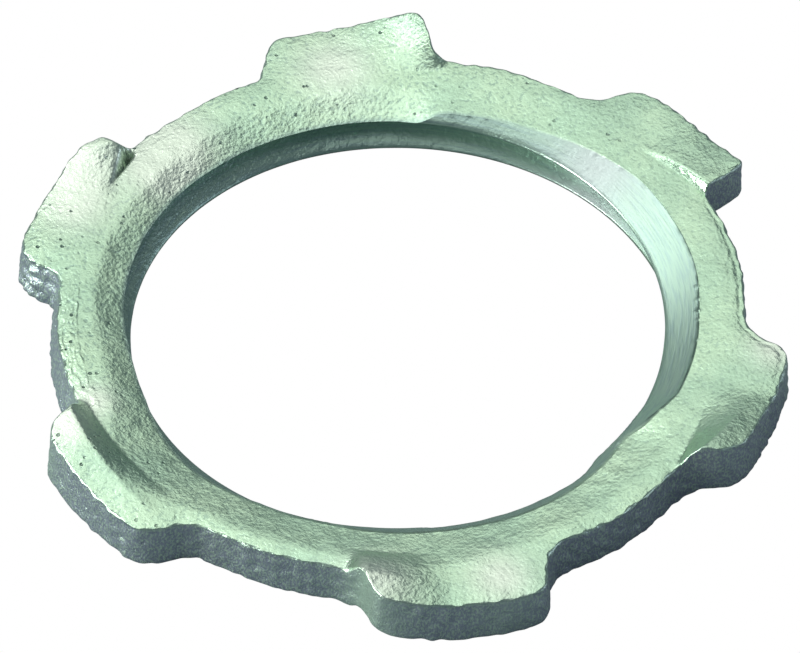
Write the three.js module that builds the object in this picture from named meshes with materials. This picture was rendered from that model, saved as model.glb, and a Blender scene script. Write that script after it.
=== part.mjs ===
// Lugged conduit locknut, 1 inch trade size: a stamped steel ring, tapped right through,
// with six lugs whose clockwise corners are bent up to bite into a box wall.
// Millimetres, +Z up. The flat back face lies on z = 0 and the thread axis is the Z axis.

import * as THREE from "three";
import { mergeVertices } from "three/addons/utils/BufferGeometryUtils.js";

// Thread
const THREADS_PER_INCH = 11.5;
const MINOR_DIAMETER = 30.0;
const MAJOR_DIAMETER = 33.4;
const CREST_FLAT = 0.18;
const CREST_ANGLE = 52; // degrees from +X, where a thread crest leaves the back face
const FLANK_ANGLE = 30; // degrees, half of the 60 degree thread form

// Ring
const RING_DIAMETER = 38.8;
const THICKNESS = 2.8;
const DISH_DIAMETER = 34.6; // inside this the front face slopes down to the bore
const DISH_SLOPE = 0.16;
const EDGE_BREAK = 0.3;

// Lugs
const LUG_COUNT = 6;
const LUG_DIAMETER = 43.9;
const LUG_BASE_WIDTH = 10.2;
const LUG_TIP_WIDTH = 8.7;
const TIP_ROUNDING = 0.8;
const ROOT_ROUNDING = 0.6;

// Teeth: the bent-up clockwise part of each lug
const TOOTH_RISE = 1.15;
const TOOTH_BACK_RISE = 0.45; // how far the back face follows the bend
const TOOTH_HINGE = 2.8; // degrees counter-clockwise of the lug's middle
const TOOTH_TIP = -13; // degrees, where the bend is highest
const TOOTH_FOOT_DIAMETER = 37.4;
const TOOTH_SLOPE_SHARE = 0.33; // share of the lug's reach taken up by the bend's inner slope
const TOOTH_FLANK_SHARE = 0.6; // share of the flank's length over which the bend grows to full

// Mesh fineness: rows up the bore, and steps along each piece of half a sector's outline
const BORE_ROWS = 14;
const LUG_ARC_STEPS = 4;
const ROUNDING_STEPS = 3;
const RING_ARC_STEPS = 2;
const EDGE_SEARCH_STEPS = 30;

const PITCH = 25.4 / THREADS_PER_INCH;
const MINOR_RADIUS = MINOR_DIAMETER / 2;
const MAJOR_RADIUS = MAJOR_DIAMETER / 2;
const RING_RADIUS = RING_DIAMETER / 2;
const LUG_RADIUS = LUG_DIAMETER / 2;
const DISH_RADIUS = DISH_DIAMETER / 2;
const FOOT_RADIUS = TOOTH_FOOT_DIAMETER / 2;
const SECTOR = (2 * Math.PI) / LUG_COUNT;

const { clamp, degToRad, lerp, smoothstep } = THREE.MathUtils;

// Radius of the tapped bore at one angle and height: crest flat, 60 degree flanks, root flat.
function boreRadius(angle, z) {
  const crestHeight = (PITCH * (angle - degToRad(CREST_ANGLE))) / (2 * Math.PI);
  const turns = (z - crestHeight) / PITCH;
  const fromCrest = Math.abs(turns - Math.round(turns)) * PITCH;
  const depth = (fromCrest - CREST_FLAT / 2) / Math.tan(degToRad(FLANK_ANGLE));
  return MINOR_RADIUS + clamp(depth, 0, MAJOR_RADIUS - MINOR_RADIUS);
}

// Share of the full bend at one point of a lug, from 0 at the hinge and foot to 1 at the tip.
function bend(angle, radius, reach) {
  const fromLug = angle - SECTOR * Math.round(angle / SECTOR);
  const along = (TOOTH_HINGE - THREE.MathUtils.radToDeg(fromLug)) / (TOOTH_HINGE - TOOTH_TIP);
  const slopeEnd = lerp(FOOT_RADIUS, reach, TOOTH_SLOPE_SHARE);
  const onLug = smoothstep(reach, RING_RADIUS, lerp(RING_RADIUS, LUG_RADIUS, TOOTH_FLANK_SHARE));
  return clamp(along, 0, 1) * smoothstep(radius, FOOT_RADIUS, slopeEnd) * onLug;
}

function frontHeight(angle, radius, reach) {
  const dish = DISH_SLOPE * Math.max(DISH_RADIUS - radius, 0);
  return THICKNESS - dish + TOOTH_RISE * bend(angle, radius, reach);
}

function backHeight(angle, radius, reach) {
  return TOOTH_BACK_RISE * bend(angle, radius, reach);
}

// Height at which the bore's wall meets the dished front face.
function boreTop(angle) {
  let low = THICKNESS - DISH_SLOPE * (DISH_RADIUS - MINOR_RADIUS) - CREST_FLAT;
  let high = THICKNESS;
  for (let step = 0; step < EDGE_SEARCH_STEPS; step++) {
    const middle = (low + high) / 2;
    if (middle < frontHeight(angle, boreRadius(angle, middle), RING_RADIUS)) {
      low = middle;
    } else {
      high = middle;
    }
  }
  return low;
}

// One sector of the ring's outline about a lug that points along +X, counter-clockwise.
function sectorOutline() {
  const rootHalf = LUG_BASE_WIDTH / 2;
  const tipHalf = LUG_TIP_WIDTH / 2;
  const root = new THREE.Vector2(Math.sqrt(RING_RADIUS ** 2 - rootHalf ** 2), rootHalf);
  const tip = new THREE.Vector2(Math.sqrt(LUG_RADIUS ** 2 - tipHalf ** 2), tipHalf);
  const flank = tip.clone().sub(root).normalize();
  const flankStart = root.clone().addScaledVector(flank, ROOT_ROUNDING);
  const flankEnd = tip.clone().addScaledVector(flank, -TIP_ROUNDING);
  const rootAngle = root.angle() + ROOT_ROUNDING / RING_RADIUS;
  const tipAngle = tip.angle() - TIP_ROUNDING / LUG_RADIUS;
  const onRing = new THREE.Vector2(RING_RADIUS, 0).rotateAround(new THREE.Vector2(), rootAngle);
  const onTip = new THREE.Vector2(LUG_RADIUS, 0).rotateAround(new THREE.Vector2(), tipAngle);

  const halfLug = [
    [new THREE.EllipseCurve(0, 0, LUG_RADIUS, LUG_RADIUS, 0, tipAngle), LUG_ARC_STEPS],
    [new THREE.QuadraticBezierCurve(onTip, tip, flankEnd), ROUNDING_STEPS],
    [new THREE.LineCurve(flankEnd, flankStart), 1],
    [new THREE.QuadraticBezierCurve(flankStart, root, onRing), ROUNDING_STEPS],
    [
      new THREE.EllipseCurve(0, 0, RING_RADIUS, RING_RADIUS, rootAngle, SECTOR / 2),
      RING_ARC_STEPS,
    ],
  ];
  // The first point of each piece is the last one of the piece before it.
  const upper = halfLug.flatMap(([curve, steps]) => curve.getPoints(steps).slice(1));
  const lower = upper.slice(0, -1).map((point) => new THREE.Vector2(point.x, -point.y));
  return [...lower.reverse(), new THREE.Vector2(LUG_RADIUS, 0), ...upper];
}

// The closed section of the ring at one outline point, as [radius, height] pairs:
// up the bore, out over the front face, down the rim and in along the back face.
function section(angle, reach) {
  const top = boreTop(angle);
  const slopeEnd = lerp(FOOT_RADIUS, reach - EDGE_BREAK, TOOTH_SLOPE_SHARE);
  const bore = Array.from({ length: BORE_ROWS + 1 }, (_, row) => {
    const z = (top * row) / BORE_ROWS;
    return [boreRadius(angle, z), z];
  });
  const frontRadii = [DISH_RADIUS, FOOT_RADIUS, slopeEnd, reach - EDGE_BREAK];
  const front = frontRadii.map((radius) => [radius, frontHeight(angle, radius, reach)]);
  const rim = [
    [reach, frontHeight(angle, reach, reach) - EDGE_BREAK],
    [reach, backHeight(angle, reach, reach)],
  ];
  const back = [slopeEnd, FOOT_RADIUS].map((radius) => [radius, backHeight(angle, radius, reach)]);
  return [...bore, ...front, ...rim, ...back];
}

// Joins the sections of all six sectors into one closed skin.
function locknutGeometry() {
  const sections = [];
  for (let lug = 0; lug < LUG_COUNT; lug++) {
    for (const point of sectorOutline()) {
      const angle = Math.atan2(point.y, point.x) + lug * SECTOR;
      const ring = section(angle, point.length());
      sections.push(ring.map(([r, z]) => [r * Math.cos(angle), r * Math.sin(angle), z]));
    }
  }
  const rows = sections[0].length;
  const index = [];
  sections.forEach((_, column) => {
    const here = column * rows;
    const next = ((column + 1) % sections.length) * rows;
    for (let row = 0; row < rows; row++) {
      const above = (row + 1) % rows;
      index.push(here + row, here + above, next + row);
      index.push(next + row, here + above, next + above);
    }
  });
  const geometry = new THREE.BufferGeometry();
  geometry.setAttribute("position", new THREE.Float32BufferAttribute(sections.flat(2), 3));
  geometry.setIndex(index);
  return mergeVertices(geometry);
}

const zincPlate = new THREE.MeshStandardMaterial({
  color: 0xb4bfb4,
  roughness: 0.45,
  metalness: 0.9,
});

const locknut = new THREE.Mesh(locknutGeometry(), zincPlate);
locknut.name = "locknut";
locknut.geometry.computeVertexNormals();

const part = new THREE.Group();
part.add(locknut);

export default part;
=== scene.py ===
"""Looks of a lugged conduit locknut: a stamped, tapped and zinc plated steel ring with six bent teeth.

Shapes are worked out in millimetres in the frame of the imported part, whose back face lies on z = 0
and whose thread axis is the Z axis, and they are turned into metres as the mesh is made. Angles
are in degrees, counter-clockwise from +X, unless a comment says otherwise.
"""

import math
from collections import namedtuple
from types import SimpleNamespace

import bpy
import numpy as np
from mathutils import Matrix, Vector


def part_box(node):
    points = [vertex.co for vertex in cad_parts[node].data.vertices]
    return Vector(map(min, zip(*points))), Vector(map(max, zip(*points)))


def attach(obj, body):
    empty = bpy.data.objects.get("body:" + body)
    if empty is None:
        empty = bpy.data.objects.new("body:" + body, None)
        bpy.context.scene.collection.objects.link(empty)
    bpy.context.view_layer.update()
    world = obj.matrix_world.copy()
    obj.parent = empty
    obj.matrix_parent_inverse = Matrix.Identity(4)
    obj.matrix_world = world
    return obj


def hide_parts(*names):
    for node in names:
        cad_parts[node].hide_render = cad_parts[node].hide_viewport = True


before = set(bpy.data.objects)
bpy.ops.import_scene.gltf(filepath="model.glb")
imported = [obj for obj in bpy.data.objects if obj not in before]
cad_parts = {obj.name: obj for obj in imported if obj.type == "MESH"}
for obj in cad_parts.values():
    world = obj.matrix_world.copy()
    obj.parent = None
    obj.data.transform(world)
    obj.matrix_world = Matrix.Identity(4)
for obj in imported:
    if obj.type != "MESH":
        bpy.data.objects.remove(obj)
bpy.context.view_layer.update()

MM = 0.001

# Thread, with the same numbers as the part's own
PITCH = 25.4 / 11.5
MINOR_RADIUS = 15.0
MAJOR_RADIUS = 16.7
CREST_ANGLE = 52.0  # where a crest leaves the back face
CREST_ROUNDING = 0.1
FLANK_RATE = 1 / math.tan(math.radians(30))  # depth gained for each millimetre away from a crest
BORE_SHIFT = 0.13  # the tapped bore sits this far off the blank's middle
BORE_SHIFT_ANGLE = 218.0

# Ring and lugs
LOW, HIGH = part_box("locknut")
LUG_RADIUS = (HIGH.x - LOW.x) / 2 / MM
RING_RADIUS = 19.50
BLANK_STRETCH = 0.06  # the outline stands out by this much at one angle and in by it opposite
STRETCH_ANGLE = 25.0
THICKNESS = 2.8
LUG_COUNT = 6
SECTOR = 360 / LUG_COUNT

# Bent teeth. Angles are from the lug's middle, and a negative one is on the bent side.
TOOTH_TIP = -13.0  # the highest edge of the tooth
FOOT_FADE_START, FOOT_FADE_END = TOOTH_TIP - 4.5, TOOTH_TIP - 1.5  # the bend fades out here
BEND_SOFTNESS = 0.05
HIGHEST_BEND = 1.05  # as a share of the bend at the tooth's tip
NARROWEST_STEP = 0.1
BACK_STEP_SHARE = 1.5  # how many times wider the inner slope is on the back face
FULL_DROOP_SHARE = 0.4  # the outer droop is full from this share of the bend on

# Edges and faces
FRONT_EDGE = 0.13
NARROWEST_EDGE, WIDEST_EDGE = 0.05, 0.25
BACK_EDGE = 0.16
CROWN_WIDTH = 1.5  # the front face falls away towards the rim over this width
CROWN_DROP = 0.09
FLAT_CROWN_SHARE = 0.7  # share of that drop that is missing about one angle
FLAT_CROWN_ANGLE = 30.0
FLAT_CROWN_SPREAD = 22.0
RIM_FLARE = 0.14  # how much further out the rim's back edge stands than its front edge
WORN_FLARE = 0.32  # and how much more than that on the side where the rim is worn most
WORN_ANGLE = 150.0
WORN_SPREAD = 26.0
DISH_RADIUS = 18.5  # inside this the front face dips gently towards the bore
DISH_SLOPE = 0.08
DISH_SOFTNESS = 0.5
BACK_LIFT = 0.008  # keeps the back face's ripples from going far below z = 0

# Inside these radii, at these angles, the punched front face rolls down into the bore.
ROLL_ANGLES = [0, 141, 149, 158, 166, 175, 187, 196, 219, 236, 250, 290, 300]
ROLL_RADII = [17.1, 17.2, 16.9, 16.95, 17.5, 18.8, 19.2, 18.8, 18.5, 19.4, 18.7, 18.3, 17.1]
ROLL_SLOPES = [0.27, 0.27, 0.27, 0.27, 0.24, 0.22, 0.19, 0.17, 0.14, 0.14, 0.14, 0.13, 0.13]
ROLL_SOFTNESS = 0.12
ROLL_START, ROLL_FULL = 40, 52  # the roll begins and ends over these angles
ROLL_FADING, ROLL_END = 284, 293

# How far the roll pushed the upper part of the bore inwards, by angle
LIP_ANGLES = [100, 120, 130, 141, 152, 163, 174, 185, 195, 203, 225, 255, 268, 283, 291, 299]
LIP_DEPTHS = [
    0.0, 0.14, 0.30, 0.57, 0.84, 0.95, 0.84, 0.57, 0.38, 0.70, 0.70, 0.42, 0.42, 0.78, 0.66, 0.0,
]
LIP_FOOT, LIP_TOP = 1.1, 1.9  # heights between which the push grows to full
LEAST_DEPTH = 0.1  # the push leaves this much of the thread's depth
WORN_CREST = 0.6  # how far the crest is worn down between two angles
WORN_START, WORN_END = 240.0, 270.0
WORN_FADE = 10.0

# The thread's last groove, which runs out over the front face
OPEN_GROOVE = 0.75  # how much further out it reaches at its widest
OPEN_GROOVE_ANGLE = -10.0  # where it is widest
OPEN_GROOVE_SPREAD = 34.0
OPEN_GROOVE_TOP = 2.6  # the height at which it has opened fully
CREST_CLEARANCE = 0.05  # it starts to open this far above the crest
TAP_MARK_DEPTH = 0.014  # fine lines that the tap left where that groove narrows
TAP_MARK_SPACING = 0.23
TAP_MARK_START, TAP_MARK_END = 14.0, 45.0
TAP_MARK_FADE = 8.0

# Marks of the punch, the tap and wear, and a painted shadow along the bore's edge
TORN_SEAM_START = (-4.30, 19.10)  # a slit between the ring and a tooth, from the outline inwards
TORN_SEAM_END = (-6.99, 17.41)
TORN_SEAM_WIDTH = 0.42
TORN_SEAM_LEAST_WIDTH = 0.02
TORN_SEAM_DEPTH = 1.3
TORN_SEAM_OPENING = 0.15  # share of its length over which it deepens
PARTING_START, PARTING_FULL = -2.0, -1.0  # it parts the tooth from the ring between these shares
PARTING_FADING, PARTING_END = 0.7, 1.4  # of its length, measured from its start
PARTING_SOFTNESS = 0.12
TORN_FLANK = (-14.3, 15.2)  # middle of the one flank that broke off roughly
TORN_FLANK_SIZE = 1.3
TORN_FLANK_LOSS = 0.08
MARK_FADE = 4.0  # the layers, the lip and the crumbs fade out over this angle at both ends
LAYER_START, LAYER_END = 137.0, 166.0  # here the rim is folded into thin layers
LAYER_BAND = 1.15
LAYER_WIDTH = 0.36
LAYER_HEIGHT = 0.045
RIM_LIP_START, RIM_LIP_END = 308.0, 343.0  # here a fine lip and shear ridges follow the rim
RIM_LIP_DISTANCE = 0.34
RIM_LIP_WIDTH = 0.11
RIM_LIP_DEPTH = 0.03
RIDGE_SPACING = 1.1  # in degrees
RIDGE_HEIGHT = 0.007
RIDGE_FADING, RIDGE_END = 0.5, 1.6  # the ridges fade out between these distances from the rim
BURR_START, BURR_END = 286.0, 326.0  # here the tap left crumbs on the edge of the bore
BURR_HEIGHT = 0.10
FEWEST_BURRS = 0.25  # their share on the rest of that edge
BURR_THRESHOLD = 0.9  # a crumb stands only where its noise is above this
LARGEST_BURR = 1.2  # as a share of their height
MOUTH_SHADOW_START, MOUTH_SHADOW_END = 291.0, 341.0  # here a painted shadow runs as a thin dark line along that edge
MOUTH_SHADOW_FADE = 3.0
MOUTH_SHADOW_DARKNESS = 0.8

# x, y and size of the spots given painted highlights: on the teeth, parts of the ring, and one on the
# thread
HIGHLIGHT_SPOTS = [
    (-7.6, 19.6, 2.2), (-9.6, 17.6, 2.0), (-2.3, 18.2, 2.6), (8.8, 16.9, 2.2),
    (-20.5, 4.0, 1.5), (-8.1, -18.9, 1.6), (-17.6, 5.0, 1.2), (-13.9, -15.2, 2.0),
    (-3.8, 16.4, 2.2), (14.6, -15.6, 1.5),
]
THREAD_HIGHLIGHT_SPOTS = [(16.0, 1.6, 3.0)]

# Smooth seeded noise, and the places it is used in
Ripple = namedtuple("Ripple", "size wavelength seed waves", defaults=[24])
WAVELENGTH_SHARES = (0.75, 1.35)  # the waves of one ripple differ in length by these shares
OUTLINE_BENDS = Ripple(0.06, 7.0, 3)
OUTLINE_NICKS = Ripple(0.018, 1.6, 4)
FRONT_WAVES = Ripple(0.020, 6.0, 11)
FRONT_DIMPLES = Ripple(0.002, 1.1, 12, waves=48)
BACK_WAVES = Ripple(0.004, 2.5, 13)
WALL_STREAKS = Ripple(0.025, 0.8, 21)
WALL_GRAINS = Ripple(0.020, 0.6, 22)
TORN_GRAINS = Ripple(0.14, 0.6, 23)
EDGE_UNEVENNESS = Ripple(0.35, 0.9, 31)
LAYER_WANDER = Ripple(0.8, 2.2, 41)
RIDGE_WANDER = Ripple(1.0, 2.0, 42)
BURRS = Ripple(1.0, 0.7, 51)
MOUTH_SHADOW_GAPS = Ripple(0.3, 0.8, 61)
STREAK_SQUEEZE = (1, 1, 0.25)  # this makes the streaks of the walls four times as tall as wide

# Mesh fineness
COLUMNS = 960
BORE_ROWS = 34
FINE_FACE_ROWS = 7
FINE_FACE_RADIUS = 17.45  # the front face's mesh is finer inside this radius
FRONT_ROWS = 32
EDGE_ROWS = 5
RIM_ROWS = 12
BACK_EDGE_ROWS = 3
BACK_ROWS = 7
ARC_STEPS = 24
ROUNDING_STEPS = 10
LEAST_STEP = 1e-6  # outline points that are nearer than this are one point
SHEARED_AT_SHOULDER = 0.2  # how sheared the rounded front edge looks where it leaves the face
LOWEST_MOUTH = 0.5  # the bore's mouth is looked for from this height
ABOVE_MOUTH = 0.3  # up to this far above the front face
MOUTH_STEPS = 400
AWAY_FROM_RIM = 9.0  # a distance at which no mark of the rim is left
DISTANCE_CHUNKS = 40  # distances are worked out in so many parts, to save memory

LUG_FIELDS = (
    "reach lean cw ccw spread_cw spread_ccw root_cw tip_cw tip_ccw root_ccw"
    " rise back_rise hinge foot foot_slope step widening droop"
)
Lug = namedtuple("Lug", LUG_FIELDS)
LEAN_ANGLE = 12

# One row for each lug, counter-clockwise from +X, in millimetres and degrees: its reach from the
# axis and how much further it reaches 12 degrees on, the angles from its middle to its two tip
# corners, how much further out each flank's foot lies, the roundings of its four corners, how far
# the tooth's front and back faces rise, the bend line's angle, the foot line's radius at the lug's
# middle and its change with each degree, the width of the step there at the tooth's end and the
# share it widens by with each degree from there, and the outer droop. In the names, cw is the
# clockwise side of the lug and ccw the counter-clockwise one.
LUGS = [
    Lug(22.22, -0.4, 9.9, 12.4, 2.2, 3.6, 0.4, 0.5, 1.0, 1.3,
        0.60, 0.75, 3.0, 18.68, -0.084, 0.14, 0.04, 0.16),
    Lug(22.17, 0.0, 12.0, 10.9, 3.0, 4.6, 0.5, 0.7, 0.8, 0.3,
        1.45, 0.60, 1.4, 18.00, -0.040, 2.8, 0.12, 0.05),
    Lug(21.85, 0.15, 15.0, 11.6, 1.4, 3.0, 0.8, 2.2, 1.7, 0.7,
        0.90, 0.30, 3.0, 18.00, -0.030, 2.2, 0.12, 0.05),
    Lug(22.18, -0.05, 12.0, 11.6, 3.2, 4.6, 0.5, 1.5, 1.3, 1.1,
        1.45, 0.50, 14.0, 18.70, 0.000, 1.4, 0.01, 0.24),
    Lug(22.20, 0.0, 11.8, 12.9, 4.0, 3.2, 1.8, 1.3, 1.0, 1.6,
        1.05, 0.70, -1.0, 18.00, 0.000, 2.4, 0.00, 0.05),
    Lug(22.00, 0.0, 11.8, 12.8, 3.4, 3.4, 0.9, 1.7, 0.9, 1.4,
        1.38, 0.80, 3.4, 18.34, -0.056, 1.3, 0.06, 0.05),
]


def smoothstep(values, low, high):
    share = np.clip((values - low) / (high - low), 0.0, 1.0)
    return share * share * (3 - 2 * share)


def soft_ramp(values, softness):
    """Like max(values, 0), with its corner rounded over about the given softness."""
    return (values + np.sqrt(values * values + softness * softness)) / 2


def hump(offsets, spread):
    """1 at no offset, falling smoothly to 0 well beyond the spread."""
    return np.exp(-((offsets / spread) ** 2))


def angle_from(angles, middle):
    """Signed difference in degrees, from -180 to 180."""
    return (angles - middle + 180) % 360 - 180


def angles_of(points):
    return np.degrees(np.arctan2(points[..., 1], points[..., 0]))


def between_angles(angles, start, end, softness):
    """1 between two angles, fading to 0 beyond them."""
    return smoothstep(angles, start - softness, start) * (1 - smoothstep(angles, end, end + softness))


def ripples(points, kind):
    """Smooth seeded noise of about the kind's size: plane waves in random directions."""
    draw = np.random.default_rng(kind.seed)
    directions = draw.normal(size=(kind.waves, points.shape[-1]))
    directions /= np.linalg.norm(directions, axis=1, keepdims=True)
    rates = 2 * math.pi / (kind.wavelength * draw.uniform(*WAVELENGTH_SHARES, kind.waves))
    phases = draw.uniform(0, 2 * math.pi, kind.waves)
    waves = np.sin(points @ (directions * rates[:, None]).T + phases)
    return kind.size * (waves.sum(axis=-1) * math.sqrt(2 / kind.waves))


def sector_of(angles):
    """The number of the nearest lug, and the signed angle from its middle, in degrees."""
    number = np.round(angles / SECTOR).astype(int) % LUG_COUNT
    return number, angle_from(angles, number * SECTOR)


def lug_values(numbers, field):
    return np.array([getattr(lug, field) for lug in LUGS])[numbers]


# Outline


def polar(radius, degrees):
    radians = np.radians(degrees)
    return np.stack([radius * np.cos(radians), radius * np.sin(radians)], axis=-1)


def rounded(before, corner, after):
    """A quadratic curve that leaves before, heads for corner and ends at after."""
    share = np.linspace(0, 1, ROUNDING_STEPS)[:, None]
    return (1 - share) ** 2 * before + 2 * share * (1 - share) * corner + share**2 * after


def towards(start, end, distance):
    return start + (end - start) * distance / np.linalg.norm(end - start)


def degrees_of(length, radius):
    return math.degrees(length / radius)


def tip_arc(lug, middle, start, end, steps=ARC_STEPS):
    """The lug's outer edge between two angles from its middle."""
    offsets = np.linspace(start, end, steps)
    return polar(lug.reach + lug.lean * offsets / LEAN_ANGLE, middle + offsets)


def lug_outline(number):
    """Points of one lug and of the ring up to the next lug, counter-clockwise."""
    lug, following = LUGS[number], LUGS[(number + 1) % LUG_COUNT]
    middle = number * SECTOR
    foot_cw = middle - lug.cw - lug.spread_cw
    foot_ccw = middle + lug.ccw + lug.spread_ccw
    root_cw, root_ccw = polar(RING_RADIUS, foot_cw), polar(RING_RADIUS, foot_ccw)
    tip_cw, tip_ccw = tip_arc(lug, middle, -lug.cw, lug.ccw, steps=2)
    before_foot = foot_cw - degrees_of(lug.root_cw, RING_RADIUS)
    tip_start = degrees_of(lug.tip_cw, lug.reach) - lug.cw
    tip_end = lug.ccw - degrees_of(lug.tip_ccw, lug.reach)
    tip = tip_arc(lug, middle, tip_start, tip_end)
    ring_start = foot_ccw + degrees_of(lug.root_ccw, RING_RADIUS)
    next_foot = middle + SECTOR - following.cw - following.spread_cw
    ring_end = next_foot - degrees_of(following.root_cw, RING_RADIUS)
    return np.concatenate([
        rounded(polar(RING_RADIUS, before_foot), root_cw, towards(root_cw, tip_cw, lug.root_cw)),
        rounded(towards(tip_cw, root_cw, lug.tip_cw), tip_cw, tip[0]),
        tip,
        rounded(tip[-1], tip_ccw, towards(tip_ccw, root_ccw, lug.tip_ccw)),
        rounded(towards(root_ccw, tip_ccw, lug.root_ccw), root_ccw, polar(RING_RADIUS, ring_start)),
        polar(RING_RADIUS, np.linspace(ring_start, ring_end, ARC_STEPS)),
    ])


def outline_normals(points):
    along = np.roll(points, -1, axis=0) - np.roll(points, 1, axis=0)
    along /= np.linalg.norm(along, axis=1, keepdims=True)
    return np.stack([along[:, 1], -along[:, 0]], axis=-1)


def step_lengths(points):
    return np.linalg.norm(np.diff(points, axis=0), axis=1)


def evenly_spaced(points):
    """COLUMNS points at equal steps along a closed line."""
    closed = np.vstack([points, points[:1]])
    closed = closed[np.append(step_lengths(closed) > LEAST_STEP, True)]
    travelled = np.concatenate([[0], np.cumsum(step_lengths(closed))])
    wanted = np.linspace(0, travelled[-1], COLUMNS, endpoint=False)
    return np.stack([np.interp(wanted, travelled, closed[:, axis]) for axis in (0, 1)], axis=-1)


def rim_wear(angles):
    """How worn the front edge of the rim is, from 0 to 1."""
    return hump(angle_from(angles, WORN_ANGLE), WORN_SPREAD)


def ring_outline():
    """Evenly spaced points round the whole outline, slightly uneven as a stamped blank is."""
    even = evenly_spaced(np.concatenate([lug_outline(number) for number in range(LUG_COUNT)]))
    angles = angles_of(even)
    uneven = ripples(even, OUTLINE_BENDS) + ripples(even, OUTLINE_NICKS)
    stretched = BLANK_STRETCH * np.cos(np.radians(angles - STRETCH_ANGLE))
    outwards = uneven + stretched - WORN_FLARE * rim_wear(angles)
    return even + outline_normals(even) * outwards[:, None]


# Heights of the two faces


def roll_depth(angles, radii):
    """How far the rolled inner part of the front face lies below its outer part."""
    strength = smoothstep(angles, ROLL_START, ROLL_FULL)
    strength = strength * (1 - smoothstep(angles, ROLL_FADING, ROLL_END))
    radius = np.interp(angles, ROLL_ANGLES, ROLL_RADII)
    slope = np.interp(angles, ROLL_ANGLES, ROLL_SLOPES)
    return slope * strength * soft_ramp(radius - radii, ROLL_SOFTNESS)


def tooth_shares(angles, radii):
    """How far along its bend and up its inner slope each point is, as shares, and the lug."""
    number, from_middle = sector_of(angles)
    hinge = lug_values(number, "hinge")
    along = soft_ramp((hinge - from_middle) / (hinge - TOOTH_TIP), BEND_SOFTNESS)
    beside_foot = smoothstep(from_middle, FOOT_FADE_START, FOOT_FADE_END)
    on_lug = np.where(from_middle < 0, beside_foot, 1.0)
    foot = lug_values(number, "foot") + lug_values(number, "foot_slope") * from_middle
    width = lug_values(number, "step")
    width = width * (1 + lug_values(number, "widening") * (from_middle - TOOTH_TIP))
    up_slope = (radii - foot) / np.maximum(width, NARROWEST_STEP)
    return np.minimum(along, HIGHEST_BEND) * on_lug, up_slope, number


def along_seam(points):
    """Share of the way along the torn slit, and the distance to its side, positive on the tooth."""
    start, end = np.array(TORN_SEAM_START), np.array(TORN_SEAM_END)
    length = end - start
    share = (points - start) @ length / (length @ length)
    aside = (points - start) @ np.array([length[1], -length[0]]) / np.linalg.norm(length)
    return share, aside


def seam_depth(points):
    """Depth of the torn slit, which narrows and rises to nothing at its inner end."""
    share, aside = along_seam(points)
    left = np.clip(np.minimum(1 - share, share / TORN_SEAM_OPENING), 0, 1)
    width = TORN_SEAM_WIDTH * left + TORN_SEAM_LEAST_WIDTH
    return TORN_SEAM_DEPTH * left * np.clip(1 - np.abs(aside) / width, 0, 1)


def torn_from_tooth(points):
    """1 on the ring's side of the torn slit, where the tooth's rise does not carry over."""
    share, aside = along_seam(points)
    parted = smoothstep(share, PARTING_START, PARTING_FULL)
    parted = parted * (1 - smoothstep(share, PARTING_FADING, PARTING_END))
    return parted * (1 - smoothstep(aside, -PARTING_SOFTNESS, PARTING_SOFTNESS))


def rim_marks(points, angles, edge_distance):
    """Height of the folded layers, of the fine lip and of the shear ridges along the rim."""
    folded = between_angles(angles, LAYER_START, LAYER_END, MARK_FADE) * (edge_distance < LAYER_BAND)
    layers = (edge_distance / LAYER_WIDTH + ripples(points, LAYER_WANDER)) % 1.0
    beside_lip = between_angles(angles, RIM_LIP_START, RIM_LIP_END, MARK_FADE)
    groove = hump(edge_distance - RIM_LIP_DISTANCE, RIM_LIP_WIDTH)
    ridges = np.sin(2 * math.pi * (angles + ripples(points, RIDGE_WANDER)) / RIDGE_SPACING)
    ridges = RIDGE_HEIGHT * ridges * (1 - smoothstep(edge_distance, RIDGE_FADING, RIDGE_END))
    return LAYER_HEIGHT * folded * layers + beside_lip * (ridges - RIM_LIP_DEPTH * groove)


def droop_depth(angles, radii, edge_distance, along, number):
    """How far the front face falls away towards the rim, and at the outer end of each tooth."""
    flatter = FLAT_CROWN_SHARE * hump(angle_from(angles, FLAT_CROWN_ANGLE), FLAT_CROWN_SPREAD)
    crown = CROWN_DROP * (1 - flatter) * np.clip(1 - edge_distance / CROWN_WIDTH, 0, 1) ** 2
    past_ring = smoothstep(radii, RING_RADIUS, LUG_RADIUS)
    on_tooth = np.clip(along / FULL_DROOP_SHARE, 0, 1)
    return crown + lug_values(number, "droop") * past_ring * on_tooth


def front_height(points, edge_distance):
    """Height of the front face at points given as x, y."""
    angles = angles_of(points) % 360
    radii = np.linalg.norm(points, axis=-1)
    along, up_slope, number = tooth_shares(angles, radii)
    rise = lug_values(number, "rise") * along * np.clip(up_slope, 0, 1)
    rise = rise * (1 - torn_from_tooth(points))
    dish = DISH_SLOPE * soft_ramp(DISH_RADIUS - radii, DISH_SOFTNESS)
    droop = droop_depth(angles, radii, edge_distance, along, number)
    waves = ripples(points, FRONT_WAVES) + ripples(points, FRONT_DIMPLES)
    marks = rim_marks(points, angles, edge_distance) - seam_depth(points)
    return THICKNESS + rise - dish - roll_depth(angles, radii) - droop + waves + marks


def back_height(points):
    """Height of the back face at points given as x, y."""
    angles = angles_of(points) % 360
    radii = np.linalg.norm(points, axis=-1)
    along, up_slope, number = tooth_shares(angles, radii)
    rise = lug_values(number, "back_rise") * along * smoothstep(up_slope, 0, BACK_STEP_SHARE)
    return rise + ripples(points, BACK_WAVES) + BACK_LIFT


# Bore


def thread_depth(angles, heights):
    """How far the bore's wall lies outside the thread's crest."""
    crest = PITCH * (angles - CREST_ANGLE) / 360
    turns = (heights - crest) / PITCH
    from_crest = np.abs(turns - np.round(turns)) * PITCH
    depth = soft_ramp(from_crest - CREST_ROUNDING, CREST_ROUNDING) * FLANK_RATE
    return depth - soft_ramp(depth - (MAJOR_RADIUS - MINOR_RADIUS), CREST_ROUNDING)


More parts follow.
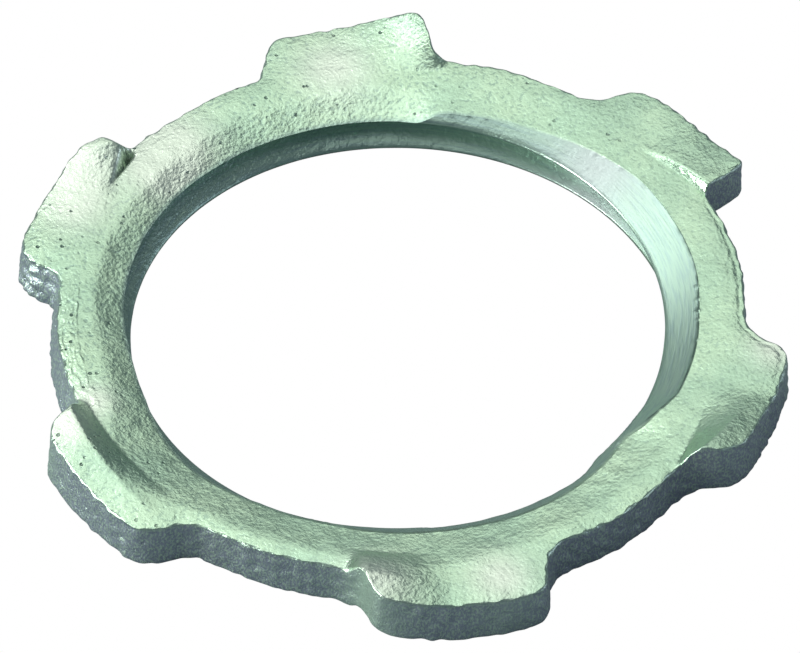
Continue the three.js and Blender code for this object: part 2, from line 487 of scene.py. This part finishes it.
def pushed_in(depth, angles, heights):
    """The thread's depth once the punch has rolled its upper part in and its crest is worn."""
    lip = np.interp(angles, LIP_ANGLES, LIP_DEPTHS) * smoothstep(heights, LIP_FOOT, LIP_TOP)
    lip = np.minimum(lip, np.maximum(depth - LEAST_DEPTH, 0))
    worn = WORN_CREST * between_angles(angles, WORN_START, WORN_END, WORN_FADE)
    return np.maximum(depth - lip, worn)


def last_groove(angles, heights):
    """How much wider the thread's last groove opens, and the height of the tap's lines in it."""
    opening = OPEN_GROOVE * hump(angle_from(angles, OPEN_GROOVE_ANGLE), OPEN_GROOVE_SPREAD)
    last_crest = PITCH * ((angles - CREST_ANGLE) % 360) / 360
    above_crest = heights - last_crest - CREST_CLEARANCE
    opened = opening * np.clip(above_crest / (OPEN_GROOVE_TOP - last_crest), 0, 1)
    lines = np.sin(2 * math.pi * above_crest / TAP_MARK_SPACING) * (above_crest > 0)
    lines = lines * between_angles(angles, TAP_MARK_START, TAP_MARK_END, TAP_MARK_FADE)
    return opened, TAP_MARK_DEPTH * lines


def bore_radius(angles, heights):
    depth = pushed_in(thread_depth(angles, heights), angles, heights)
    shift = BORE_SHIFT * np.cos(np.radians(angles - BORE_SHIFT_ANGLE))
    opened, lines = last_groove(angles, heights)
    return MINOR_RADIUS + depth + shift + opened + lines


def bore_top(angles):
    """Height at which the bore's wall first meets the front face, going up, for each angle."""
    heights = np.linspace(LOWEST_MOUTH, THICKNESS + ABOVE_MOUTH, MOUTH_STEPS)
    grid_angles, grid_heights = np.meshgrid(angles, heights, indexing="ij")
    radii = bore_radius(grid_angles, grid_heights)
    face = front_height(polar(radii, grid_angles), np.full_like(radii, AWAY_FROM_RIM))
    over = grid_heights - face
    first = np.argmax(over > 0, axis=1)
    column = np.arange(len(angles))
    below, above = over[column, first - 1], over[column, first]
    share = below / (below - above)
    return heights[first - 1] + share * (heights[1] - heights[0])


# Mesh. Every section of the ring is one column of points, and a row goes once round the ring.


def lift(points, heights):
    return np.concatenate([points, heights[..., None]], axis=-1)


def between(start, end, steps):
    """Rows at equal steps from one row to another, with the last one and without the first."""
    shares = np.linspace(0, 1, steps + 1)[1:]
    return start[None] + (end - start)[None] * shares[:, None, None]


def distance_to(outline, points):
    """Distance from each point to the nearest point of the outline."""
    flat = points.reshape(-1, 2)
    nearest = [
        np.sqrt(((chunk[:, None, :] - outline[None]) ** 2).sum(axis=-1).min(axis=1))
        for chunk in np.array_split(flat, DISTANCE_CHUNKS)
    ]
    return np.concatenate(nearest).reshape(points.shape[:-1])


def column_angles(outline):
    """Evenly spaced angles for the bore's columns, in step with the outline's points."""
    outline_angles = angles_of(outline)
    angles = outline_angles[0] + 360 * np.arange(COLUMNS) / COLUMNS
    return angles + angle_from(outline_angles, angles).mean()


def bore_rows(angles):
    """The bore's wall, from the back face up to its mouth."""
    heights = bore_top(angles % 360)[None] * np.linspace(0, 1, BORE_ROWS)[:, None]
    radii = bore_radius(angles[None] % 360, heights)
    return lift(polar(radii, np.broadcast_to(angles, radii.shape)), heights)


def mouth_burrs(mouth, angles):
    """Crumbs on the edge between the bore and the front face, for each column."""
    beside_groove = between_angles(angles, BURR_START, BURR_END, MARK_FADE)
    strength = FEWEST_BURRS + (1 - FEWEST_BURRS) * beside_groove
    crumbs = np.clip(ripples(mouth, BURRS) - BURR_THRESHOLD, 0, LARGEST_BURR)
    return BURR_HEIGHT * strength * crumbs


def face_rows(outline, edge_break, mouth, angles):
    """The front face, from the bore's mouth to where the rim's rounded edge begins."""
    fine_end = polar(np.full(COLUMNS, FINE_FACE_RADIUS), angles)
    shoulder = outline - edge_break[:, None] * outline_normals(outline)
    points = np.concatenate([
        between(mouth, fine_end, FINE_FACE_ROWS),
        between(fine_end, shoulder, FRONT_ROWS),
    ])
    return lift(points, front_height(points, distance_to(outline, points)))


def front_edge_rows(outline, edge_break):
    """The rounded edge between the front face and the rim."""
    turn = np.linspace(0, math.pi / 2, EDGE_ROWS + 1)[1:]
    inset = edge_break * (1 - np.sin(turn))[:, None]
    points = outline - inset[..., None] * outline_normals(outline)
    heights = front_height(points, inset) - edge_break * (1 - np.cos(turn))[:, None]
    return lift(points, heights)


def back_edge_rows(outline, angles):
    """The rounded edge between the rim and the back face."""
    flare = (RIM_FLARE + WORN_FLARE * rim_wear(angles))[:, None]
    turn = np.linspace(0, math.pi / 2, BACK_EDGE_ROWS + 1)
    inset = BACK_EDGE * (1 - np.cos(turn))[:, None, None]
    points = outline + (flare - inset) * outline_normals(outline)
    heights = back_height(points) + BACK_EDGE * (1 - np.sin(turn))[:, None]
    return lift(points, heights)


def locknut_rows():
    """The closed section of every column, row by row: up the bore, out over the front face,
    down the rim and in along the back face. Also how sheared each row is."""
    outline = ring_outline()
    angles = column_angles(outline)
    bore = bore_rows(angles)
    mouth = bore[-1, :, :2]
    edge_break = FRONT_EDGE * (1 + ripples(outline, EDGE_UNEVENNESS))
    edge_break = np.clip(edge_break, NARROWEST_EDGE, WIDEST_EDGE)
    front = face_rows(outline, edge_break, mouth, angles)
    burrs = mouth_burrs(mouth, angles % 360)
    bore[-1, :, 2] += burrs
    front[0, :, 2] += burrs / 2

    edge = front_edge_rows(outline, edge_break)
    back_edge = back_edge_rows(outline, angles)
    rim = between(edge[-1], back_edge[0], RIM_ROWS + 1)[:-1]
    back_points = between(back_edge[-1, :, :2], bore[0, :, :2], BACK_ROWS + 1)[:-1]
    back = lift(back_points, back_height(back_points))

    parts = [bore, front, edge, rim, back_edge, back]
    shares = [0, 0, np.linspace(SHEARED_AT_SHOULDER, 1, EDGE_ROWS), 1, 1, 0]
    sheared = [np.broadcast_to(share, len(part)) for share, part in zip(shares, parts)]
    return np.concatenate(parts), np.concatenate(sheared)


def roughen(rows, sheared):
    """Moves the sheared walls in and out a little, in upright streaks and grains."""
    flat = rows.reshape(-1, 3)
    plan = flat[:, :2].copy()
    streaks = ripples(flat * np.array(STREAK_SQUEEZE), WALL_STREAKS) + ripples(flat, WALL_GRAINS)
    torn = hump(np.linalg.norm(plan - np.array(TORN_FLANK), axis=1), TORN_FLANK_SIZE)
    torn = torn * (ripples(flat, TORN_GRAINS) - TORN_FLANK_LOSS)
    amount = (streaks + torn) * np.repeat(sheared, rows.shape[1])
    outward = plan / np.linalg.norm(plan, axis=1, keepdims=True)
    flat[:, :2] += outward * amount[:, None]
    return flat.reshape(rows.shape)


def painted_highlight_share(points, tapped):
    """How much painted highlight each point gets, with spots of their own for the tapped bore."""
    shares = [
        np.exp(-((points[:, 0] - x) ** 2 + (points[:, 1] - y) ** 2) / size**2) * (tapped == on_thread)
        for on_thread, spots in ((0, HIGHLIGHT_SPOTS), (1, THREAD_HIGHLIGHT_SPOTS))
        for x, y, size in spots
    ]
    return np.minimum(np.sum(shares, axis=0), 1)


def mouth_shadow_share(rows):
    """How dark the painted shadow along the edge of the bore is at every point, from 0 to 1."""
    along_edge = between_angles(angles_of(rows) % 360, MOUTH_SHADOW_START, MOUTH_SHADOW_END, MOUTH_SHADOW_FADE)
    darkness = along_edge * np.clip(MOUTH_SHADOW_DARKNESS + ripples(rows, MOUTH_SHADOW_GAPS), 0, 1)
    on_mouth = np.arange(len(rows)) == BORE_ROWS - 1
    return darkness * on_mouth[:, None]


def add_field(mesh, name, values):
    attribute = mesh.attributes.new(name, "FLOAT", "POINT")
    attribute.data.foreach_set("value", values.astype(np.float32))


def mark_mouth_sharp(mesh):
    """Keeps the edge between the bore and the front face crisp."""
    ends = np.zeros(len(mesh.edges) * 2, dtype=np.int64)
    mesh.edges.foreach_get("vertices", ends)
    on_mouth = (ends.reshape(-1, 2) // COLUMNS == BORE_ROWS - 1).all(axis=1)
    sharp = mesh.attributes.new("sharp_edge", "BOOLEAN", "EDGE")
    sharp.data.foreach_set("value", on_mouth)


def closed_faces(row_count):
    """Four-sided faces between all neighbouring rows and columns, with the last next to the first."""
    numbers = np.arange(row_count * COLUMNS).reshape(row_count, COLUMNS)
    above = np.roll(numbers, -1, axis=0)
    beside = np.roll(numbers, -1, axis=1)
    across = np.roll(above, -1, axis=1)
    return np.stack([numbers, above, across, beside], axis=-1).reshape(-1, 4)


def build_mesh(name):
    rows, sheared = locknut_rows()
    rows = roughen(rows, sheared)
    points = rows.reshape(-1, 3)
    tapped = np.repeat(np.arange(len(rows)) < BORE_ROWS, COLUMNS)

    mesh = bpy.data.meshes.new(name)
    mesh.from_pydata((points * MM).tolist(), [], closed_faces(len(rows)).tolist())
    add_field(mesh, "sheared", np.repeat(sheared, COLUMNS))
    add_field(mesh, "tapped", tapped)
    # Painted highlights, stored as a field of the mesh
    add_field(mesh, "painted_highlight", painted_highlight_share(points, tapped))
    # The painted shadow along the bore's edge, stored as a field of the mesh
    add_field(mesh, "painted_mouth_shadow", mouth_shadow_share(rows).ravel())
    mesh.shade_smooth()
    mark_mouth_sharp(mesh)
    mesh.validate()
    locknut = bpy.data.objects.new(name, mesh)
    bpy.context.scene.collection.objects.link(locknut)
    return locknut


# Materials

FACE_DULL = (0.55, 0.79, 0.58, 1)
FACE_BRIGHT = (0.68, 0.92, 0.66, 1)
FACE_GRAIN = (0.40, 0.58, 0.46, 1)
# Colour of the painted highlights on the faces
FACE_HIGHLIGHT = (0.88, 1.0, 0.84, 1)
BORE_DULL = (0.40, 0.57, 0.51, 1)
BORE_BRIGHT = (0.47, 0.66, 0.54, 1)
# Colours of the painted highlights on the thread and on the walls
BORE_HIGHLIGHT = (0.55, 0.64, 0.61, 1)
WALL_HIGHLIGHT = (0.62, 0.80, 0.66, 1)
# The sheared walls' dark colour: darker sheared steel, made darker still as painted shade
WALL_DARK_AND_SHADE = (0.42, 0.48, 0.56, 1)
WALL_SPECK = (0.64, 0.80, 0.68, 1)
# Dark of the pits, and also of the painted shade in hollows and the painted shadow along the bore's
# edge
PIT_AND_SHADE_COLOUR = (0.14, 0.22, 0.18, 1)

# Noises of the zinc, each with its scale per metre and its detail
GRAIN_NOISE = (4600.0, 4.0)
CLOUD_NOISE = (240.0, 3.0)
DENT_NOISE = (800.0, 2.0)
STREAK_NOISE = (9000.0, 2.0)
LINE_NOISE = (9000.0, 2.0)
PIT_PATCH_NOISE = (420.0, 1.0)
PIT_SCALE = 1500.0
STREAK_STRETCH = (1, 1, 0.6)  # the walls' streaks are a little taller than they are wide
LINE_STRETCH = 0.06  # the bore's lines change along the bore at this share of their rate across

# The values at which each of them begins to show and shows fully
CLOUD_RANGE = (0.30, 0.70)
GRAIN_RANGE = (0.50, 0.30)
LINE_RANGE = (0.30, 0.60)
STREAK_RANGE = (0.42, 0.66)
PIT_RANGE = (0.20, 0.08)
PIT_PATCH_RANGE = (0.48, 0.62)
CREASE_SHADE_RANGE = (0.49, 0.40)  # of the mesh's pointiness, where painted shade darkens its hollows and creases

COARSE_SIDE = (-0.25, 0.97, 0)  # towards the half of the ring whose faces are coarser
COARSE_RANGE = (-0.014, 0.016)  # in metres along that direction
FINE_SIDE_DARKNESS = 0.6  # how dark the grain is on the other half, as a share
FINE_SIDE_GRAIN = 0.9  # and how high
DENT_HEIGHT = 1.8  # height of the broad dents, as a share of the grain's
LINE_HEIGHT = 0.3  # and of the bore's lines on the other half
BUMP_DISTANCE = 0.00006
BUMP_STRENGTH = 0.9
FACE_ROUGHNESS = 0.29
BORE_ROUGHNESS = 0.36
WALL_ROUGHNESS = 0.45
METALLIC = 0.9


class Nodes:
    """A small helper that adds nodes to one node tree and links them."""

    def __init__(self, owner):
        owner.use_nodes = True
        self.tree = owner.node_tree
        self.tree.nodes.clear()

    def add(self, kind, inputs=None, **settings):
        node = self.tree.nodes.new(kind)
        for name, value in settings.items():
            setattr(node, name, value)
        for name, value in (inputs or {}).items():
            self.connect(node.inputs[name], value)
        return node

    def connect(self, socket, value):
        """Links the socket to another socket, or sets it to a plain value."""
        if isinstance(value, bpy.types.NodeSocket):
            self.tree.links.new(value, socket)
        else:
            socket.default_value = value

    def attribute(self, name):
        return self.add("ShaderNodeAttribute", attribute_name=name).outputs["Fac"]

    def noise(self, place, scale, detail):
        inputs = {"Vector": place, "Scale": scale, "Detail": detail}
        return self.add("ShaderNodeTexNoise", inputs).outputs["Fac"]

    def maths(self, operation, first, second):
        return self.add("ShaderNodeMath", {0: first, 1: second}, operation=operation).outputs[0]

    def scaled(self, place, scale):
        return self.add("ShaderNodeMapping", {"Vector": place, "Scale": scale}).outputs[0]

    def around_axis(self, place):
        """Coordinates that change quickly with radius and height but slowly round the Z axis."""
        level = self.scaled(place, (1, 1, 0))
        radius = self.add("ShaderNodeVectorMath", {0: level}, operation="LENGTH").outputs["Value"]
        parts = self.add("ShaderNodeSeparateXYZ", {0: place}).outputs
        slow = self.maths("MULTIPLY", self.maths("ADD", parts[0], parts[1]), LINE_STRETCH)
        return self.add("ShaderNodeCombineXYZ", {0: radius, 1: slow, 2: parts[2]}).outputs[0]

    def ramp(self, value, start, end):
        """0 at start and 1 at end, easing in between."""
        inputs = {"Value": value, "From Min": start, "From Max": end}
        settings = {"interpolation_type": "SMOOTHSTEP"}
        return self.add("ShaderNodeMapRange", inputs, **settings).outputs[0]

    def mix(self, factor, first, second):
        """Mixes two colours or two plain numbers."""
        is_colour = isinstance(second, tuple) or getattr(second, "type", "") == "RGBA"
        node = self.add("ShaderNodeMix", {"Factor": factor}, data_type="RGBA" if is_colour else "FLOAT")
        ends = (node.inputs[6], node.inputs[7]) if is_colour else (node.inputs[2], node.inputs[3])
        self.connect(ends[0], first)
        self.connect(ends[1], second)
        return node.outputs[2] if is_colour else node.outputs[0]


def zinc_patterns(nodes):
    """The fields stored in the mesh, and the noises that the colour and the bumps share."""
    place = nodes.add("ShaderNodeTexCoord").outputs["Object"]
    across = nodes.add("ShaderNodeVectorMath", {0: place, 1: COARSE_SIDE}, operation="DOT_PRODUCT")
    patterns = SimpleNamespace(
        sheared=nodes.attribute("sheared"),
        tapped=nodes.attribute("tapped"),
        painted_highlight=nodes.attribute("painted_highlight"),
        painted_mouth_shadow=nodes.attribute("painted_mouth_shadow"),
        grain=nodes.noise(place, *GRAIN_NOISE),
        cloud=nodes.noise(place, *CLOUD_NOISE),
        dents=nodes.noise(place, *DENT_NOISE),
        streaks=nodes.noise(nodes.scaled(place, STREAK_STRETCH), *STREAK_NOISE),
        lines=nodes.noise(nodes.around_axis(place), *LINE_NOISE),
        coarse=nodes.ramp(across.outputs["Value"], *COARSE_RANGE),
    )
    patterns.pits = zinc_pits(nodes, place, patterns)
    return patterns


def zinc_pits(nodes, place, patterns):
    """Small round pits in patches, on the coarser half of the ring's faces."""
    cells = nodes.add("ShaderNodeTexVoronoi", {"Vector": place, "Scale": PIT_SCALE})
    pits = nodes.ramp(cells.outputs["Distance"], *PIT_RANGE)
    patches = nodes.ramp(nodes.noise(place, *PIT_PATCH_NOISE), *PIT_PATCH_RANGE)
    pits = nodes.maths("MULTIPLY", pits, patches)
    pits = nodes.maths("MULTIPLY", pits, patterns.coarse)
    return nodes.maths("MULTIPLY", pits, nodes.maths("SUBTRACT", 1.0, patterns.tapped))


def zinc_colour(nodes, patterns):
    face = nodes.mix(nodes.ramp(patterns.cloud, *CLOUD_RANGE), FACE_DULL, FACE_BRIGHT)
    darkness = nodes.mix(patterns.coarse, FINE_SIDE_DARKNESS, 1.0)
    dark_grain = nodes.maths("MULTIPLY", nodes.ramp(patterns.grain, *GRAIN_RANGE), darkness)
    face = nodes.mix(dark_grain, face, FACE_GRAIN)
    # Painted highlights on the faces
    face = nodes.mix(patterns.painted_highlight, face, FACE_HIGHLIGHT)
    bore = nodes.mix(nodes.ramp(patterns.lines, *LINE_RANGE), BORE_DULL, BORE_BRIGHT)
    # Painted highlight on the thread
    bore = nodes.mix(patterns.painted_highlight, bore, BORE_HIGHLIGHT)
    # Walls: dark sheared steel with painted shade, and lighter streaks
    wall = nodes.mix(nodes.ramp(patterns.streaks, *STREAK_RANGE), WALL_DARK_AND_SHADE, WALL_SPECK)
    # Painted highlights on the walls
    wall = nodes.mix(patterns.painted_highlight, wall, WALL_HIGHLIGHT)
    colour = nodes.mix(patterns.tapped, face, bore)
    colour = nodes.mix(patterns.pits, colour, PIT_AND_SHADE_COLOUR)
    colour = nodes.mix(patterns.sheared, colour, wall)
    # Painted shade in the hollows and creases, found by the mesh's pointiness
    pointiness = nodes.add("ShaderNodeNewGeometry").outputs["Pointiness"]
    colour = nodes.mix(nodes.ramp(pointiness, *CREASE_SHADE_RANGE), colour, PIT_AND_SHADE_COLOUR)
    # Painted shadow: a thin dark line along the bore's edge
    return nodes.mix(patterns.painted_mouth_shadow, colour, PIT_AND_SHADE_COLOUR)


def zinc_height(nodes, patterns):
    grain = nodes.maths("MULTIPLY", patterns.grain, nodes.mix(patterns.coarse, FINE_SIDE_GRAIN, 1.0))
    grain = nodes.maths("ADD", grain, nodes.maths("MULTIPLY", patterns.dents, DENT_HEIGHT))
    lines = nodes.maths("MULTIPLY", patterns.lines, LINE_HEIGHT)
    height = nodes.mix(patterns.tapped, grain, nodes.mix(patterns.coarse, lines, grain))
    height = nodes.mix(patterns.sheared, height, patterns.streaks)
    return nodes.maths("SUBTRACT", height, patterns.pits)


def zinc_material():
    """Satin zinc plate with a sandy grain: paler and pitted on the faces, darker and streaked on the
    sheared walls, whose dark is partly painted shade, smoother on the tapped bore. Painted highlights
    brighten spots on the teeth, ring, walls and thread, and painted shade darkens the hollows and a
    line along the bore's edge."""
    material = bpy.data.materials.new("zinc_plate")
    nodes = Nodes(material)
    patterns = zinc_patterns(nodes)
    bump = nodes.add("ShaderNodeBump", {
        "Height": zinc_height(nodes, patterns),
        "Distance": BUMP_DISTANCE,
        "Strength": BUMP_STRENGTH,
    })
    roughness = nodes.mix(patterns.tapped, FACE_ROUGHNESS, BORE_ROUGHNESS)
    roughness = nodes.mix(patterns.sheared, roughness, WALL_ROUGHNESS)
    shader = nodes.add("ShaderNodeBsdfPrincipled", {
        "Base Color": zinc_colour(nodes, patterns),
        "Metallic": METALLIC,
        "Roughness": roughness,
        "Normal": bump.outputs["Normal"],
    })
    nodes.add("ShaderNodeOutputMaterial", {"Surface": shader.outputs["BSDF"]})
    return material


# Stage, in metres

WHITE = (1, 1, 1, 1)
FLOOR_RADIUS = 2.0
FLOOR_SIDES = 64
FLOOR_DROP = 0.00005  # keeps the floor clear of the back face
FLOOR_COLOUR = (0.30, 0.34, 0.36, 1)
WORLD_COLOUR = (0.80, 1.0, 1.2, 1)
WORLD_STRENGTH = 0.11

VIEW_AZIMUTH = math.radians(-39.2)
VIEW_ELEVATION = math.radians(47.86)
VIEW_ROLL = math.radians(0.5)
VIEW_DISTANCE = 0.3716
VIEW_LENS = 297.8  # in millimetres, as is SENSOR_WIDTH
VIEW_ASIDE = -0.0001  # how far right of the camera's aim the ring's middle lies
VIEW_ABOVE = 0.00117  # and how far above it
SENSOR_WIDTH = 36
CLIP_START, CLIP_END = 0.01, 10

# Square soft boxes that face the object: name, azimuth and elevation in degrees, size, power in
# watts and colour. The azimuth is counter-clockwise from the picture's right.
LIGHT_DISTANCE = 0.6
LIGHTS = [
    ("left_low", 196, 9, 0.32, 3.5, (0.97, 1.02, 0.95)),
    ("left_high", 150, 46, 0.30, 0.70, (1.0, 1.0, 1.0)),
    ("high_back", 95, 56, 0.56, 0.80, (1.0, 1.0, 0.95)),
    ("back", 100, 20, 0.40, 0.10, (1.0, 1.0, 1.0)),
    ("top", 200, 84, 0.40, 0.50, (1.0, 1.0, 1.0)),
    ("right", 0, 10, 0.34, 0.45, (0.95, 1.0, 1.2)),
]


def floor_material():
    """Pale grey to the lights and reflections, plain white to the camera."""
    material = bpy.data.materials.new("pale_floor")
    nodes = Nodes(material)
    seen = nodes.add("ShaderNodeLightPath").outputs["Is Camera Ray"]
    plain = nodes.add("ShaderNodeBsdfDiffuse", {"Color": FLOOR_COLOUR})
    white = nodes.add("ShaderNodeEmission", {"Color": WHITE, "Strength": 1.0})
    mixed = nodes.add("ShaderNodeMixShader", {0: seen, 1: plain.outputs[0], 2: white.outputs[0]})
    nodes.add("ShaderNodeOutputMaterial", {"Surface": mixed.outputs[0]})
    return material


def add_floor():
    bpy.ops.mesh.primitive_circle_add(vertices=FLOOR_SIDES, radius=FLOOR_RADIUS, fill_type="NGON")
    floor = bpy.context.object
    floor.name = "floor"
    floor.location.z = -FLOOR_DROP
    floor.data.materials.append(floor_material())


def add_world():
    """Soft light from all round, which the camera sees as plain white."""
    world = bpy.data.worlds.new("studio")
    nodes = Nodes(world)
    seen = nodes.add("ShaderNodeLightPath").outputs["Is Camera Ray"]
    soft = nodes.add("ShaderNodeBackground", {"Color": WORLD_COLOUR, "Strength": WORLD_STRENGTH})
    white = nodes.add("ShaderNodeBackground", {"Color": WHITE, "Strength": 1.0})
    mixed = nodes.add("ShaderNodeMixShader", {0: seen, 1: soft.outputs[0], 2: white.outputs[0]})
    nodes.add("ShaderNodeOutputWorld", {"Surface": mixed.outputs[0]})
    bpy.context.scene.world = world


def view_axes():
    """Right, up and back directions of the camera."""
    level = Vector((math.cos(VIEW_AZIMUTH), math.sin(VIEW_AZIMUTH), 0))
    towards_camera = Vector((level.y, -level.x, 0))
    back = towards_camera * math.cos(VIEW_ELEVATION) + Vector((0, 0, math.sin(VIEW_ELEVATION)))
    steep = back.cross(level)
    right = level * math.cos(VIEW_ROLL) + steep * math.sin(VIEW_ROLL)
    return right, back.cross(right), back


def add_camera():
    right, up, back = view_axes()
    target = Vector((0, 0, THICKNESS * MM))
    place = target + back * VIEW_DISTANCE - right * VIEW_ASIDE - up * VIEW_ABOVE
    camera = bpy.data.objects.new("camera", bpy.data.cameras.new("camera"))
    camera.data.lens = VIEW_LENS
    camera.data.sensor_width = SENSOR_WIDTH
    camera.data.clip_start = CLIP_START
    camera.data.clip_end = CLIP_END
    turned = Matrix((right, up, back)).transposed().to_4x4()
    camera.matrix_world = Matrix.Translation(place) @ turned
    bpy.context.scene.collection.objects.link(camera)
    bpy.context.scene.camera = camera


def add_light(name, azimuth, elevation, size, power, colour):
    heading = math.radians(azimuth) + VIEW_AZIMUTH
    rise = math.radians(elevation)
    away = Vector((
        math.cos(heading) * math.cos(rise),
        math.sin(heading) * math.cos(rise),
        math.sin(rise),
    ))
    light = bpy.data.lights.new(name, "AREA")
    light.size = size
    light.energy = power
    light.color = colour
    lamp = bpy.data.objects.new(name, light)
    lamp.location = away * LIGHT_DISTANCE
    lamp.rotation_mode = "QUATERNION"
    lamp.rotation_quaternion = away.to_track_quat("Z", "Y")
    bpy.context.scene.collection.objects.link(lamp)


add_camera()
add_world()
add_floor()
for light_row in LIGHTS:
    add_light(*light_row)
bpy.context.scene.view_settings.view_transform = "Standard"

locknut = build_mesh("zinc_locknut")
locknut.data.materials.append(zinc_material())
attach(locknut, "root")
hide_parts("locknut")
